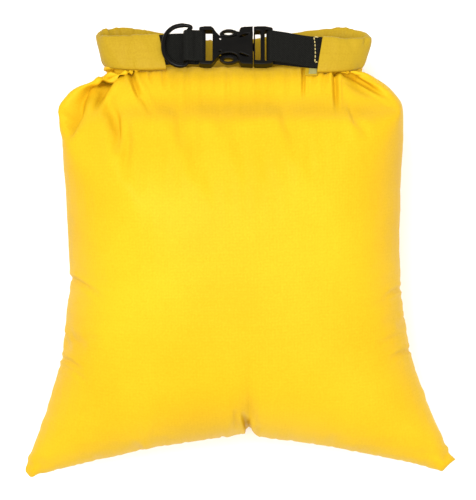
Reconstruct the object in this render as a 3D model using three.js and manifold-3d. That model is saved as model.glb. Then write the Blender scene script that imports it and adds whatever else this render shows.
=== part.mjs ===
// Roll-top compression sack of coated nylon, closed and filled with air, lying on its back.
// Millimetres. +Z is up, out of the sack's front face; +Y runs from the bottom seam to the rolled
// mouth; +X is to the right as the front face is seen. The origin is on the surface that the sack
// lies on, under the middle of its outline.
// The mouth is rolled down on its own webbing, its two ends are folded forward and a side-release
// buckle joins them, so the roll and the buckle make a ring.
import * as THREE from "three";
import { mergeVertices } from "three/addons/utils/BufferGeometryUtils.js";
import Module from "manifold-3d";

const wasm = await Module();
wasm.setup();

// ---------------------------------------------------------------- driving dimensions
const SEAM_Z = 75; // height of the side and bottom seams
const FRONT_CROWN = 82; // rise of the front panel above the seams
const BACK_CROWN = 92; // the back panel's free bulge, before the surface flattens it at z = 0
const WALL = 1.0; // fabric wall as modelled
const SEAM_GAP = 0.3; // between the two panels along their seams
const TILT = THREE.MathUtils.degToRad(20); // how far the buckle leans back
const BUCKLE_AT = [0, 153, 106]; // middle of the buckle
const WEB_T = 1.4; // webbing thickness
const WEB_W = 25; // webbing width
const ROLL_T = 7; // thickness of the rolled mouth
const BAR_R = 1.5; // half thickness of a webbing bar
const LAYER_N = 3.05; // height of a webbing layer's middle over a bar's middle
const BUCKLE_T = 8; // thickness of the buckle's frames
const RELEASE_RATIO = 0.011; // radians of arm flex per mm of withdrawal
const D_BAR_U = -38; // where the D-ring's bar lies along the buckle's axis
const D_PLANE_N = 2.0; // height of the D-ring over the buckle's middle plane
const D_WIRE_R = 1.5;
const OFFSET = [-0.35, 1.2, 0]; // brings the outline's middle over the origin

// Outline of the filled body in plan, from the bottom corners up to the roll.
const LEFT = [[-165.2, -166.3], [-159.8, -154], [-148.2, -123.2], [-135.9, -84.7], [-132.8, -61.6], [-130.5, -30.8], [-130.5, 0], [-132.1, 38.5], [-135.1, 77], [-138.2, 101.6], [-139, 110.9], [-132.8, 121.7], [-123.6, 130.9], [-112, 136.2], [-100, 138.2]];
const RIGHT = [[165.9, -160.2], [159.8, -146.3], [145.9, -115.5], [135.1, -84.7], [129, -57.8], [125.1, -26.9], [124.4, 0], [125.1, 38.5], [126.7, 77], [127.4, 101.6], [126.7, 112.4], [122, 121.7], [113.6, 130.9], [105, 135.5], [94, 137.6]];
const BOTTOM = [[-165.2, -166.3], [-156.7, -174], [-137.4, -169.4], [-106.6, -161.7], [-68.1, -152.5], [-29.6, -147.1], [-5, -143.2], [8.1, -140.6], [18.1, -144.8], [47.4, -147.8], [85.9, -154.8], [124.4, -162.5], [147, -171.7], [165.9, -160.2]];
const TOP = [[-100, 138.2], [-83.5, 138], [-54.3, 135.4], [-10.4, 130.6], [39.7, 134.2], [74.3, 136], [94, 137.6]];

// Upper and lower edge of the rolled mouth, point by point: from the left end at the front, round
// the left fold, along the back, round the right fold to the right end at the front.
const ROLL_TOP = [[-60.2, 164.2, 98.6], [-82.1, 163.2, 100.2], [-102, 163.1, 97], [-110.3, 165.3, 88], [-105.6, 169.7, 79], [-87.5, 171.8, 74], [-56.7, 167.5, 71], [-10.4, 161.5, 70], [39.8, 167.5, 71], [78.2, 171.8, 74], [96.4, 168.9, 79], [102.7, 164.1, 88], [93.7, 161.6, 97], [76.8, 161.0, 100.2], [64.5, 162.7, 98.6]];
const ROLL_FOOT = [[-53.8, 136.0, 107.8], [-74.2, 135.6, 106.4], [-95, 137, 101], [-102.5, 139.5, 90], [-97.1, 142.2, 80], [-83.5, 144.2, 75], [-54.3, 139.8, 74], [-10.4, 134.4, 74], [39.7, 139.4, 74], [74.3, 142.7, 75], [89.4, 141.4, 80], [95.7, 138.7, 90], [85.9, 135.4, 101], [72.7, 134.1, 106.4], [59.5, 133.8, 107.8]];
const ROLL_CUT = 8.6; // where the right end of the roll parts from the rest when the buckle opens
const ROLL_CUT_GAP = 0.04;

// ---------------------------------------------------------------- materials
const fabric = new THREE.MeshStandardMaterial({ name: "yellow_nylon", color: 0xf7c81a, roughness: 0.42, metalness: 0 });
const lining = new THREE.MeshStandardMaterial({ name: "seam_tape", color: 0xd8d3bf, roughness: 0.5, metalness: 0 });
const webbing = new THREE.MeshStandardMaterial({ name: "black_webbing", color: 0x101010, roughness: 0.75, metalness: 0 });
const plastic = new THREE.MeshStandardMaterial({ name: "black_acetal", color: 0x0c0c0c, roughness: 0.35, metalness: 0 });
const paleThread = new THREE.MeshStandardMaterial({ name: "yellow_thread", color: 0xd9c36a, roughness: 0.7, metalness: 0 });
const darkThread = new THREE.MeshStandardMaterial({ name: "black_thread", color: 0x141414, roughness: 0.7, metalness: 0 });

// ---------------------------------------------------------------- helpers
// A geometry as a closed manifold solid facing out.
function solid(geometry) {
  let g = geometry.clone();
  g.deleteAttribute("normal");
  g.deleteAttribute("uv");
  g = mergeVertices(g, 1e-4);
  const tri = new Uint32Array(g.index.array);
  const build = () => new wasm.Manifold(new wasm.Mesh({ numProp: 3, vertProperties: new Float32Array(g.attributes.position.array), triVerts: tri }));
  let made = build();
  if (made.volume() < 0) {
    for (let i = 0; i < tri.length; i += 3) [tri[i + 1], tri[i + 2]] = [tri[i + 2], tri[i + 1]];
    made = build();
  }
  return made;
}

function geometryOf(manifold) {
  const m = manifold.getMesh();
  const n = m.numProp;
  const v = new Float32Array(m.numVert * 3);
  for (let i = 0; i < m.numVert; i++) v.set(m.vertProperties.subarray(i * n, i * n + 3), i * 3);
  return new THREE.BufferGeometry().setAttribute("position", new THREE.BufferAttribute(v, 3)).setIndex(new THREE.BufferAttribute(new Uint32Array(m.triVerts), 1));
}

// Moves every vertex of a three.js geometry by a function of its place.
function morph(geometry, place) {
  const p = geometry.attributes.position;
  for (let i = 0; i < p.count; i++) {
    const [x, y, z] = place(p.getX(i), p.getY(i), p.getZ(i));
    p.setXYZ(i, x, y, z);
  }
  return geometry;
}

function mesh(name, shape, material) {
  const g = shape.isBufferGeometry ? geometryOf(solid(shape)) : geometryOf(shape);
  g.computeVertexNormals();
  const m = new THREE.Mesh(g, material);
  m.name = name;
  return m;
}

// A flat plate of an outline in the buckle's plane, from n0 to n1.
function plate(points, n0, n1) {
  const g = new THREE.ExtrudeGeometry(new THREE.Shape(points.map(([u, v]) => new THREE.Vector2(u, v))), { depth: n1 - n0, bevelEnabled: false, steps: 1 });
  return solid(g.translate(0, 0, n0));
}

const mirrored = (half) => [...half, ...half.slice().reverse().map(([u, v]) => [u, -v])];
const block = (u0, u1, v0, v1, n0, n1) => solid(new THREE.BoxGeometry(u1 - u0, v1 - v0, n1 - n0).translate((u0 + u1) / 2, (v0 + v1) / 2, (n0 + n1) / 2));
const line = (points) => new THREE.CatmullRomCurve3(points.map((p) => new THREE.Vector3(p[0], p[1], p[2] ?? 0)), false, "centripetal");

// A ribbon of webbing: its middle line is (u, v, n), its width runs along v.
function ribbon(points, width, thickness, steps) {
  const path = line(points);
  return solid(morph(new THREE.BoxGeometry(1, 1, 1, steps, 1, 1), (x, y, z) => {
    const t = x + 0.5;
    const c = path.getPointAt(t);
    const d = path.getTangentAt(t);
    const nu = -d.z, nn = d.x, l = Math.hypot(nu, nn);
    return [c.x + (nu / l) * z * thickness, c.y + y * width, c.z + (nn / l) * z * thickness];
  }));
}

// A round thread along a line of points.
function thread(points, r, steps, closed = false) {
  const shape = new THREE.Shape();
  for (let i = 0; i < 6; i++) {
    const a = (i / 6) * Math.PI * 2;
    if (i) shape.lineTo(Math.cos(a) * r, Math.sin(a) * r);
    else shape.moveTo(Math.cos(a) * r, Math.sin(a) * r);
  }
  return solid(new THREE.ExtrudeGeometry(shape, { steps, bevelEnabled: false, extrudePath: line(points) }));
}

// ---------------------------------------------------------------- filled body
const leftEdge = line(LEFT), rightEdge = line(RIGHT), bottomEdge = line(BOTTOM), topEdge = line(TOP);

// Plan position of the body at u (-1 left to 1 right) and v (0 bottom to 1 top), a Coons patch.
function plan(u, v) {
  const s = (u + 1) / 2;
  const l = leftEdge.getPointAt(v), r = rightEdge.getPointAt(v), b = bottomEdge.getPointAt(s), t = topEdge.getPointAt(s);
  const [l0, l1, r0, r1] = [leftEdge.getPointAt(0), leftEdge.getPointAt(1), rightEdge.getPointAt(0), rightEdge.getPointAt(1)];
  const mix = (k) => (1 - s) * l[k] + s * r[k] + (1 - v) * b[k] + v * t[k] - ((1 - s) * (1 - v) * l0[k] + s * (1 - v) * r0[k] + (1 - s) * v * l1[k] + s * v * r1[k]);
  return [mix("x"), mix("y")];
}
const bulge = (u, v) => Math.sqrt(Math.max(0, 1 - Math.abs(u) ** 2.3)) * Math.sqrt(Math.max(0, 1 - Math.abs(2 * v - 1) ** 2.4));
// Rows and columns stand closer together near the seams, where the fabric turns fastest.
const ease = (t) => Math.sin((t * Math.PI) / 2);

function panel(side, crown) {
  const shape = new THREE.BoxGeometry(2, 2, 1, 22, 22, 1);
  return morph(shape, (x, y, z) => {
    const inner = z < 0;
    const shrink = inner ? 0.985 : 1;
    const u = ease(x) * shrink, v = (ease(y) * shrink + 1) / 2;
    const [px, py] = plan(u, v);
    const rim = SEAM_Z + (side * SEAM_GAP) / 2;
    let h = crown * bulge(ease(x), (ease(y) + 1) / 2);
    let height = rim + side * h;
    if (side < 0) height = Math.max(0, height);
    if (inner) {
      height -= side * WALL * Math.min(1, h / 4);
      if (side < 0) height = Math.max(WALL, height);
      if (h < 0.01) height = rim;
    }
    return [px, py, height];
  });
}

const sack = new THREE.Group();
const root = new THREE.Group();
root.position.set(...OFFSET);
sack.add(root);
root.add(mesh("front_panel", panel(1, FRONT_CROWN), fabric));
root.add(mesh("back_panel", panel(-1, BACK_CROWN), fabric));

// Waterproof tapes inside the seams: upright strips just within the outline.
function tape(curvePoint, height, steps) {
  return morph(new THREE.BoxGeometry(1, 1, 1, steps, 1, 1), (x, y, z) => {
    const [a, b] = curvePoint(x + 0.5, y * 0.6);
    return [a, b, SEAM_Z + z * height];
  });
}
const inset = (u, v, along) => {
  const [x, y] = plan(u, v);
  return [x, y, along];
};
root.add(mesh("seam_tape_left", tape((t, d) => { const [x, y] = inset(-0.955, 0.16 + 0.66 * t); return [x + d, y]; }, 10, 16), lining));
root.add(mesh("seam_tape_right", tape((t, d) => { const [x, y] = inset(0.955, 0.16 + 0.66 * t); return [x + d, y]; }, 10, 16), lining));
root.add(mesh("seam_tape_bottom", tape((t, d) => { const [x, y] = inset(-0.78 + 1.56 * t, 0.03); return [x, y + d]; }, 8, 20), lining));

// ---------------------------------------------------------------- rolled mouth
const rollTop = line(ROLL_TOP), rollFoot = line(ROLL_FOOT);
function rollFrame(t) {
  const a = rollTop.getPoint(t), b = rollFoot.getPoint(t);
  const c = a.clone().add(b).multiplyScalar(0.5);
  const half = a.clone().sub(b).multiplyScalar(0.5);
  const e = 1e-3, t0 = Math.max(0, t - e), t1 = Math.min(1, t + e);
  const d = rollTop.getPoint(t1).add(rollFoot.getPoint(t1)).sub(rollTop.getPoint(t0)).sub(rollFoot.getPoint(t0)).normalize();
  const n = d.clone().cross(half).normalize();
  return { c, half, n };
}
const squared = (x) => Math.sign(x) * Math.abs(x) ** 0.62;
// Places along the roll, in points of its edges, a quarter of a point apart.
function stations(t0, t1) {
  const list = [t0];
  for (let k = Math.floor(t0 * 4) + 1; k / 4 < t1 - 1e-6; k++) if (k / 4 - t0 > 0.06 && t1 - k / 4 > 0.06) list.push(k / 4);
  return [...list, t1].map((t) => t / 14);
}

// The roll between two places along it, with rounded edges.
function roll(t0, t1) {
  const at = stations(t0, t1), steps = at.length - 1;
  return solid(morph(new THREE.CylinderGeometry(1, 1, 1, 14, steps), (x, y, z) => {
    const f = rollFrame(at[Math.round((y + 0.5) * steps)]);
    const a = squared(x), b = squared(z) * (ROLL_T / 2);
    return [f.c.x + f.half.x * a + f.n.x * b, f.c.y + f.half.y * a + f.n.y * b, f.c.z + f.half.z * a + f.n.z * b];
  }));
}
// A strip down the middle of the roll: the webbing it is rolled on, and the channel that holds it.
function strip(t0, t1, halfWidth, thickness, rise = 0) {
  const at = stations(t0, t1), steps = at.length - 1;
  return solid(morph(new THREE.BoxGeometry(1, 1, 1, steps, 1, 1), (x, y, z) => {
    const f = rollFrame(at[Math.round((x + 0.5) * steps)]);
    const a = (y * 2 * halfWidth) / f.half.length(), b = rise + z * thickness;
    return [f.c.x + f.half.x * a + f.n.x * b, f.c.y + f.half.y * a + f.n.y * b, f.c.z + f.half.z * a + f.n.z * b];
  }));
}
// The straps' ends go into pockets at the roll's two front ends.
function pocket(end) {
  const at = rollFrame(end);
  const outward = end === 0 ? -1 : 1;
  const g = new THREE.BoxGeometry(26, WEB_W + 0.9, end === 0 ? 4 : 5.2);
  g.translate(0, 0, end === 0 ? 0.4 : 0);
  g.rotateX(-TILT);
  g.translate(at.c.x + outward, at.c.y, at.c.z);
  return solid(g);
}
const collar = roll(0, ROLL_CUT - ROLL_CUT_GAP).subtract(pocket(0)).subtract(strip(2, 9, WEB_W / 2 - 0.2, 2.9));
const collarEnd = roll(ROLL_CUT + ROLL_CUT_GAP, 14).subtract(pocket(1));
root.add(mesh("rolled_mouth", collar, fabric));
root.add(mesh("rolled_mouth_right_end", collarEnd, fabric));
root.add(mesh("mouth_webbing", strip(2.25, 8.25, WEB_W / 2 - 0.7, 1.1, -0.7), webbing));
root.add(mesh("mouth_stiffener", strip(2.25, 8.25, WEB_W / 2 - 1, 0.7, 0.75), lining));

// ---------------------------------------------------------------- buckle, straps and D-ring
// Their own frame: u along the buckle, v up its face, n out of its face.
const front = new THREE.Group();
front.position.set(...BUCKLE_AT);
front.rotation.x = -TILT;
root.add(front);
const T = BUCKLE_T / 2;

// Arm flex: the rail's inner face follows the curve that the flexing arm sweeps as it withdraws.
const PIVOT_U = 11.9, PIVOT_V = 9.2;
const railInner = (u) => 12.65 + (RELEASE_RATIO / 2) * ((PIVOT_U - u) ** 2);

// Socket: a flat sleeve, pinched at the waist where the arms' pads stand out.
const socketHalf = [[-29.4, 14.4], [-28.7, 15.3], [-24.5, 15.8], [-20.4, 15.8], [-18.8, 14.6], [-16.2, 10.6], [-13.8, 7.8], [-10.5, 6.5], [-7, 6.1], [-3.6, 6.5], [-1, 7.9], [0.4, 10.4], [1.4, 13.6], [2.2, 14.9], [4, 15.3], [11.2, 15.7]];
let socket = plate(mirrored(socketHalf), -T, T);
const cavity = [];
for (let u = 11.6; u >= 1.9; u -= 1.2) cavity.push([u, railInner(u)]);
cavity.push([1.9, railInner(1.9)], [1.9, 20], [-14.6, 20]);
socket = socket.subtract(plate(mirrored(cavity), -2.3, 2.3));
socket = socket.subtract(block(-26.8, -19.2, -12.9, 12.9, -T - 1, T + 1));
for (const s of [1, -1]) {
  socket = socket.subtract(block(-31, -26, -12.9, 12.9, s > 0 ? BAR_R : -T - 1, s > 0 ? T + 1 : -BAR_R));
  socket = socket.subtract(plate([[0.6, 5.9], [4, 6.9], [8.9, 9.2], [8.9, 9.8], [4.2, 9.6], [1.3, 7.9]].map(([u, v]) => [u, v * s]), -T - 1, T + 1));
  socket = socket.subtract(plate([[-14.3, 4.6], [-11.9, 4.6], [-13.9, 6.5]].map(([u, v]) => [u, v * s]), -T - 1, T + 1));
}
front.add(mesh("buckle_socket", socket, plastic));

// Plug: its frame carries the strap's bar; a short guide tongue stands in the socket's mouth.
const plugHalf = [[11.9, 15.5], [16, 15.8], [21, 15.7], [25.2, 14.9], [26.4, 13.7]];
let plug = plate(mirrored(plugHalf), -T, T);
plug = plug.subtract(block(12.9, 17.0, -12.3, 12.3, -T - 1, T + 1));
plug = plug.subtract(block(20.2, 23.8, -12.9, 12.9, -T - 1, T + 1));
for (const s of [1, -1]) plug = plug.subtract(block(23, 28, -12.9, 12.9, s > 0 ? BAR_R : -T - 1, s > 0 ? T + 1 : -BAR_R));
plug = plug.add(block(-2, 12.2, -2.5, 2.5, -1.9, 1.9));
front.add(mesh("buckle_plug", plug, plastic));

// The plug's two spring arms, each with a pad that is pressed to open the buckle.
const armOuter = [[11.3, 12.3], [8, 12.4], [5, 12.55], [2, 12.8], [1, 12.5], [0, 12.3], [-1, 12.7], [-2.2, 13.3], [-4, 13.95], [-6, 14.3], [-8, 14.3], [-10, 13.9], [-12, 12.9], [-13.5, 11.5], [-14, 10.4]];
const armInner = [[-13.4, 9.3], [-11.5, 8.4], [-8.5, 7.9], [-5.5, 7.95], [-3, 8.6], [-0.6, 9.6], [2, 10.1], [5, 10.0], [8, 9.9], [11.3, 9.8]];
const padHole = [];
for (let i = 0; i < 14; i++) padHole.push([-7.3 + 4.0 * Math.cos((i / 14) * Math.PI * 2), 11.1 + 1.6 * Math.sin((i / 14) * Math.PI * 2)]);
for (const [name, s] of [["plug_arm_upper", 1], ["plug_arm_lower", -1]]) {
  const arm = plate([...armOuter, ...armInner].map(([u, v]) => [u, v * s]), -2.0, 2.0).subtract(plate(padHole.map(([u, v]) => [u, v * s]), -3, 3));
  front.add(mesh(name, arm, plastic));
}

// Left strap: out of the roll, round the socket's bar, back over itself and round the D-ring's bar.
const barL = -28.1;
const turn = (c, r, from, to, k, v) => Array.from({ length: k + 1 }, (_, i) => { const a = THREE.MathUtils.degToRad(from + ((to - from) * i) / k); return [c[0] + r * Math.cos(a), v, c[1] + r * Math.sin(a)]; });
const D_TURN = D_WIRE_R + 0.6 + WEB_T / 2;
const leftStrap = ribbon([[-69, -1.8, -3.6], [-60, -1.75, -3.4], [-50, -1.3, -3.1], [-40, -0.7, -LAYER_N], [-32, -0.2, -LAYER_N], ...turn([barL, 0], LAYER_N, -90, 90, 6, 0), [-31, -0.1, 3.1], [-34.3, -0.3, 3.9], ...turn([D_BAR_U, D_PLANE_N], D_TURN, 78, 270, 7, -0.4), [-35, -0.3, -0.75], [-32.4, -0.2, -0.75]], WEB_W, WEB_T, 64);
front.add(mesh("left_strap", leftStrap, webbing));

// Right strap: round the plug's bar, both layers into the roll's right end.
const barR = 25.1;
const rightStrap = ribbon([[69, -3.6, -3.1], [60, -3.45, -2.8], [52, -2.9, -2.1], [44, -2.1, -0.7], [36, -1.2, 1.1], [29, -0.4, 2.4], ...turn([barR, 0], LAYER_N, 90, 270, 6, 0), [29, -0.4, -2.8], [36, -1.2, -3.2], [44, -2.1, -3.75], [52, -2.9, -4.2], [60, -3.45, -4.7], [69, -3.6, -5.2]], WEB_W, WEB_T, 56);
front.add(mesh("right_strap", rightStrap, webbing));

// D-ring: a round wire bent to a D, its straight bar held in the left strap's second turn.
const dPath = new THREE.CatmullRomCurve3([[0, -12.6], [0, -6], [0, 0], [0, 6], [0, 12.6], [-1.6, 15], [-6, 15.7], [-13, 13.9], [-18.3, 8.5], [-20.2, 0], [-18.3, -8.5], [-13, -13.9], [-6, -15.7], [-1.6, -15]].map(([a, b]) => new THREE.Vector3(a, b, 0)), true, "centripetal");
const ring = morph(new THREE.TorusGeometry(1, 0.3, 8, 44), (x, y, z) => {
  const t = (Math.atan2(y, x) / (2 * Math.PI) + 1) % 1;
  const c = dPath.getPoint(t), d = dPath.getTangent(t);
  const out = ((Math.hypot(x, y) - 1) / 0.3) * D_WIRE_R;
  return [D_BAR_U + c.x + d.y * out, c.y - d.x * out, D_PLANE_N + (z / 0.3) * D_WIRE_R];
});
front.add(mesh("d_ring", ring, plastic));

// ---------------------------------------------------------------- stitching
// Each row is one thread lying just over the webbing, dipping at every stitch.
function stitches(corners, pitch, r, surface, v0) {
  const points = [];
  for (let i = 0; i + 1 < corners.length; i++) {
    const [a, b] = [corners[i], corners[i + 1]];
    const n = Math.max(2, Math.round(Math.hypot(b[0] - a[0], b[1] - a[1]) / pitch));
    for (let j = i ? 1 : 0; j <= n; j++) {
      const u = a[0] + ((b[0] - a[0]) * j) / n, v = a[1] + ((b[1] - a[1]) * j) / n;
      points.push([u, v, surface(u) + r + 0.1 + (j % 2 ? 0.25 : 0)]);
    }
  }
  return thread(points, r, points.length * 3);
}
const rightSurface = (u) => -2.1 - ((u - 52) / 8) * 0.7 + WEB_T / 2 + 0.25;
front.add(mesh("right_strap_box_stitch", stitches([[61.2, 9.0], [57.6, 9.1], [58.2, 0], [57.8, -11.8], [59, -12]], 1.4, 0.35, rightSurface), paleThread));
const leftSurface = (u) => 3.0 + ((-31 - u) / 3.3) * 0.9 + WEB_T / 2 + 0.25;
front.add(mesh("left_strap_box_stitch", stitches([[-60.4, 8], [-66, 8], [-66, -11.5], [-60.4, -11.5]], 1.4, 0.25, () => -3.35 + WEB_T / 2), darkThread));
// The mouth's inner hem, which shows under the right strap where the roll ends.
front.add(mesh("inner_hem", block(49.5, 58.6, -18.4, -9.5, -7.1, -6.2), lining));
front.add(mesh("d_ring_tack_stitch", stitches([[-33.4, 11.2], [-33.4, -11.8]], 1.4, 0.3, leftSurface), darkThread));

export default sack;
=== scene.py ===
import math
import bmesh
import bpy
import numpy as np
from mathutils import Matrix, Vector


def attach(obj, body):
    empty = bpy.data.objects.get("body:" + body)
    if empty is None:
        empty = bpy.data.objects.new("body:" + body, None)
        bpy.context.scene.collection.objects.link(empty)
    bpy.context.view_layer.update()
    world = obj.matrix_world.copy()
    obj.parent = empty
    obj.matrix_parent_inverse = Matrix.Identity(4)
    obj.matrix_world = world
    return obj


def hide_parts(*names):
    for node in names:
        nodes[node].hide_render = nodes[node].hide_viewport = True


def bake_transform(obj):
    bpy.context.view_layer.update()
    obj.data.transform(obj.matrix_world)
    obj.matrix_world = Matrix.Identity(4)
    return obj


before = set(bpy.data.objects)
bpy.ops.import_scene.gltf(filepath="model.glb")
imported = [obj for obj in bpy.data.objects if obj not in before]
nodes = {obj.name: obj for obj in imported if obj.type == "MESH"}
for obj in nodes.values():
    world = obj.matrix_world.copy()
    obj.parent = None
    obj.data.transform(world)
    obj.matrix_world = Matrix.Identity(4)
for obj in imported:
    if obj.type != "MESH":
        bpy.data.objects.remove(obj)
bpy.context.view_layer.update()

scene = bpy.context.scene
scene.view_settings.view_transform = "Standard"

# The CAD's working frame, in millimetres: the buckle's place and lean, and the small shift that
# brings the outline's middle over the origin.
SHIFT = np.array([-0.35, 1.2, 0.0])
BUCKLE = np.array([0.0, 153.0, 106.0])
TILT = math.radians(20)
CT, ST = math.cos(TILT), math.sin(TILT)


def mm(p):
    """Points of the CAD's working frame, in millimetres, as metres in the row frame."""
    return (np.asarray(p, float) + SHIFT) / 1000


def face(u, v, n):
    """A point of the buckle's own frame (along, up the face, out of the face) in working millimetres."""
    return np.array([BUCKLE[0] + u, BUCKLE[1] + v * CT + n * ST, BUCKLE[2] - v * ST + n * CT])


# ------------------------------------------------------------------ camera
cam_data = bpy.data.cameras.new("camera")
cam_data.sensor_width = 36
cam_data.lens = 140.2
cam = bpy.data.objects.new("camera", cam_data)
scene.collection.objects.link(cam)
cam.location = (SHIFT[0] / 1000, SHIFT[1] / 1000, 1.575)
cam.rotation_euler = (0, 0, 0)
scene.camera = cam


# ------------------------------------------------------------------ curves
def spline(points, per=12, closed=False):
    """A Catmull-Rom curve through points, with per samples a span."""
    P = np.asarray(points, float)
    n = len(P)
    spans = n if closed else n - 1
    out = []
    for i in range(spans):
        if closed:
            p0, p1, p2, p3 = P[(i - 1) % n], P[i], P[(i + 1) % n], P[(i + 2) % n]
        else:
            p0, p1, p2, p3 = P[max(i - 1, 0)], P[i], P[i + 1], P[min(i + 2, n - 1)]
        for k in range(per):
            t = k / per
            out.append(0.5 * (2 * p1 + (p2 - p0) * t + (2 * p0 - 5 * p1 + 4 * p2 - p3) * t * t + (3 * p1 - p0 - 3 * p2 + p3) * t ** 3))
    if not closed:
        out.append(P[-1])
    return np.array(out)


def lengths(P):
    return np.r_[0, np.cumsum(np.linalg.norm(np.diff(P, axis=0), axis=1))]


def resample(P, n):
    d = lengths(P)
    return np.array([np.interp(np.linspace(0, d[-1], n), d, P[:, k]) for k in range(P.shape[1])]).T


def smooth01(x):
    x = np.clip(x, 0, 1)
    return x * x * (3 - 2 * x)


def grid_faces(rows, cols, wrap=False):
    f = []
    for i in range(rows - 1):
        for j in range(cols if wrap else cols - 1):
            a, b = i * cols + j, i * cols + (j + 1) % cols
            f.append((a, b, b + cols, a + cols))
    return f


def new_mesh(name, verts, faces, mat=None, uv=None, smooth=True):
    me = bpy.data.meshes.new(name)
    me.from_pydata([tuple(map(float, v)) for v in verts], [], [tuple(map(int, f)) for f in faces])
    me.update()
    if uv is not None:
        layer = me.uv_layers.new(name="cloth")
        idx = np.empty(len(me.loops), np.int32)
        me.loops.foreach_get("vertex_index", idx)
        layer.data.foreach_set("uv", np.asarray(uv, float)[idx].astype(np.float32).ravel())
    ob = bpy.data.objects.new(name, me)
    scene.collection.objects.link(ob)
    if mat is not None:
        me.materials.append(mat)
    if smooth:
        me.shade_smooth()
    return ob


def face_out(ob):
    bm = bmesh.new()
    bm.from_mesh(ob.data)
    bmesh.ops.recalc_face_normals(bm, faces=bm.faces)
    bm.to_mesh(ob.data)
    bm.free()


def subdivide(ob, levels):
    m = ob.modifiers.new("subdivision", "SUBSURF")
    m.levels = levels
    m.render_levels = levels
    return m


def apply_all(ob):
    dg = bpy.context.evaluated_depsgraph_get()
    me = bpy.data.meshes.new_from_object(ob.evaluated_get(dg), depsgraph=dg)
    ob.modifiers.clear()
    old = ob.data
    ob.data = me
    bpy.data.meshes.remove(old)
    return ob


# ------------------------------------------------------------------ materials
def material(name):
    m = bpy.data.materials.new(name)
    m.use_nodes = True
    t = m.node_tree
    return m, t, t.nodes["Principled BSDF"]


def node(t, kind, **values):
    n = t.nodes.new(kind)
    for k, v in values.items():
        if k in n.inputs:
            n.inputs[k].default_value = v
        else:
            setattr(n, k, v)
    return n


def mapped(t, source, scale):
    m = node(t, "ShaderNodeMapping")
    m.inputs["Scale"].default_value = scale
    t.links.new(source, m.inputs["Vector"])
    return m.outputs["Vector"]


def ramp(t, fac, stops):
    r = node(t, "ShaderNodeValToRGB")
    while len(r.color_ramp.elements) < len(stops):
        r.color_ramp.elements.new(0.5)
    for e, (p, c) in zip(r.color_ramp.elements, stops):
        e.position = p
        e.color = (*c, 1)
    t.links.new(fac, r.inputs["Fac"])
    return r.outputs["Color"]


def math_node(t, op, a, b):
    n = node(t, "ShaderNodeMath", operation=op)
    for i, x in enumerate((a, b)):
        if isinstance(x, (int, float)):
            n.inputs[i].default_value = x
        else:
            t.links.new(x, n.inputs[i])
    return n.outputs[0]


def lines(t, uv, scale, direction):
    """Thin regular lines across the cloth, as the thicker threads of a ripstop weave lie."""
    w = node(t, "ShaderNodeTexWave", wave_type="BANDS", bands_direction=direction, Scale=1.0, Distortion=0.35)
    w.inputs["Detail Scale"].default_value = 0.2
    t.links.new(mapped(t, uv, (scale, scale, scale)), w.inputs["Vector"])
    return w.outputs["Fac"]


def nylon(name, light, dark, roughness):
    m, t, b = material(name)
    geo = node(t, "ShaderNodeTexCoord").outputs["Object"]
    uv = node(t, "ShaderNodeUVMap", uv_map="cloth").outputs["UV"]
    cloud = node(t, "ShaderNodeTexNoise", Scale=9.0, Detail=3.0, Roughness=0.55)
    t.links.new(geo, cloud.inputs["Vector"])
    fine = node(t, "ShaderNodeTexNoise", Scale=700.0, Detail=2.0, Roughness=0.6)
    t.links.new(geo, fine.inputs["Vector"])
    rip = math_node(t, "ADD", math_node(t, "POWER", lines(t, uv, 128.0, "X"), 5.0), math_node(t, "POWER", lines(t, uv, 128.0, "Y"), 5.0))
    mix = math_node(t, "ADD", math_node(t, "MULTIPLY", cloud.outputs["Fac"], 0.6), math_node(t, "MULTIPLY", fine.outputs["Fac"], 0.4))
    mix = math_node(t, "SUBTRACT", mix, math_node(t, "MULTIPLY", rip, 0.035))
    t.links.new(ramp(t, mix, [(0.34, dark), (0.60, light)]), b.inputs["Base Color"])
    b.inputs["Roughness"].default_value = roughness
    b.inputs["Specular IOR Level"].default_value = 0.07
    weave = math_node(t, "ADD", lines(t, uv, 430.0, "X"), lines(t, uv, 430.0, "Y"))
    soft = node(t, "ShaderNodeTexNoise", Scale=45.0, Detail=5.0, Roughness=0.6)
    t.links.new(geo, soft.inputs["Vector"])
    b1 = node(t, "ShaderNodeBump", Strength=0.16, Distance=0.00010)
    t.links.new(math_node(t, "ADD", weave, rip), b1.inputs["Height"])
    b2 = node(t, "ShaderNodeBump", Strength=0.25, Distance=0.0011)
    t.links.new(soft.outputs["Fac"], b2.inputs["Height"])
    t.links.new(b1.outputs["Normal"], b2.inputs["Normal"])
    t.links.new(b2.outputs["Normal"], b.inputs["Normal"])
    return m


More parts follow.
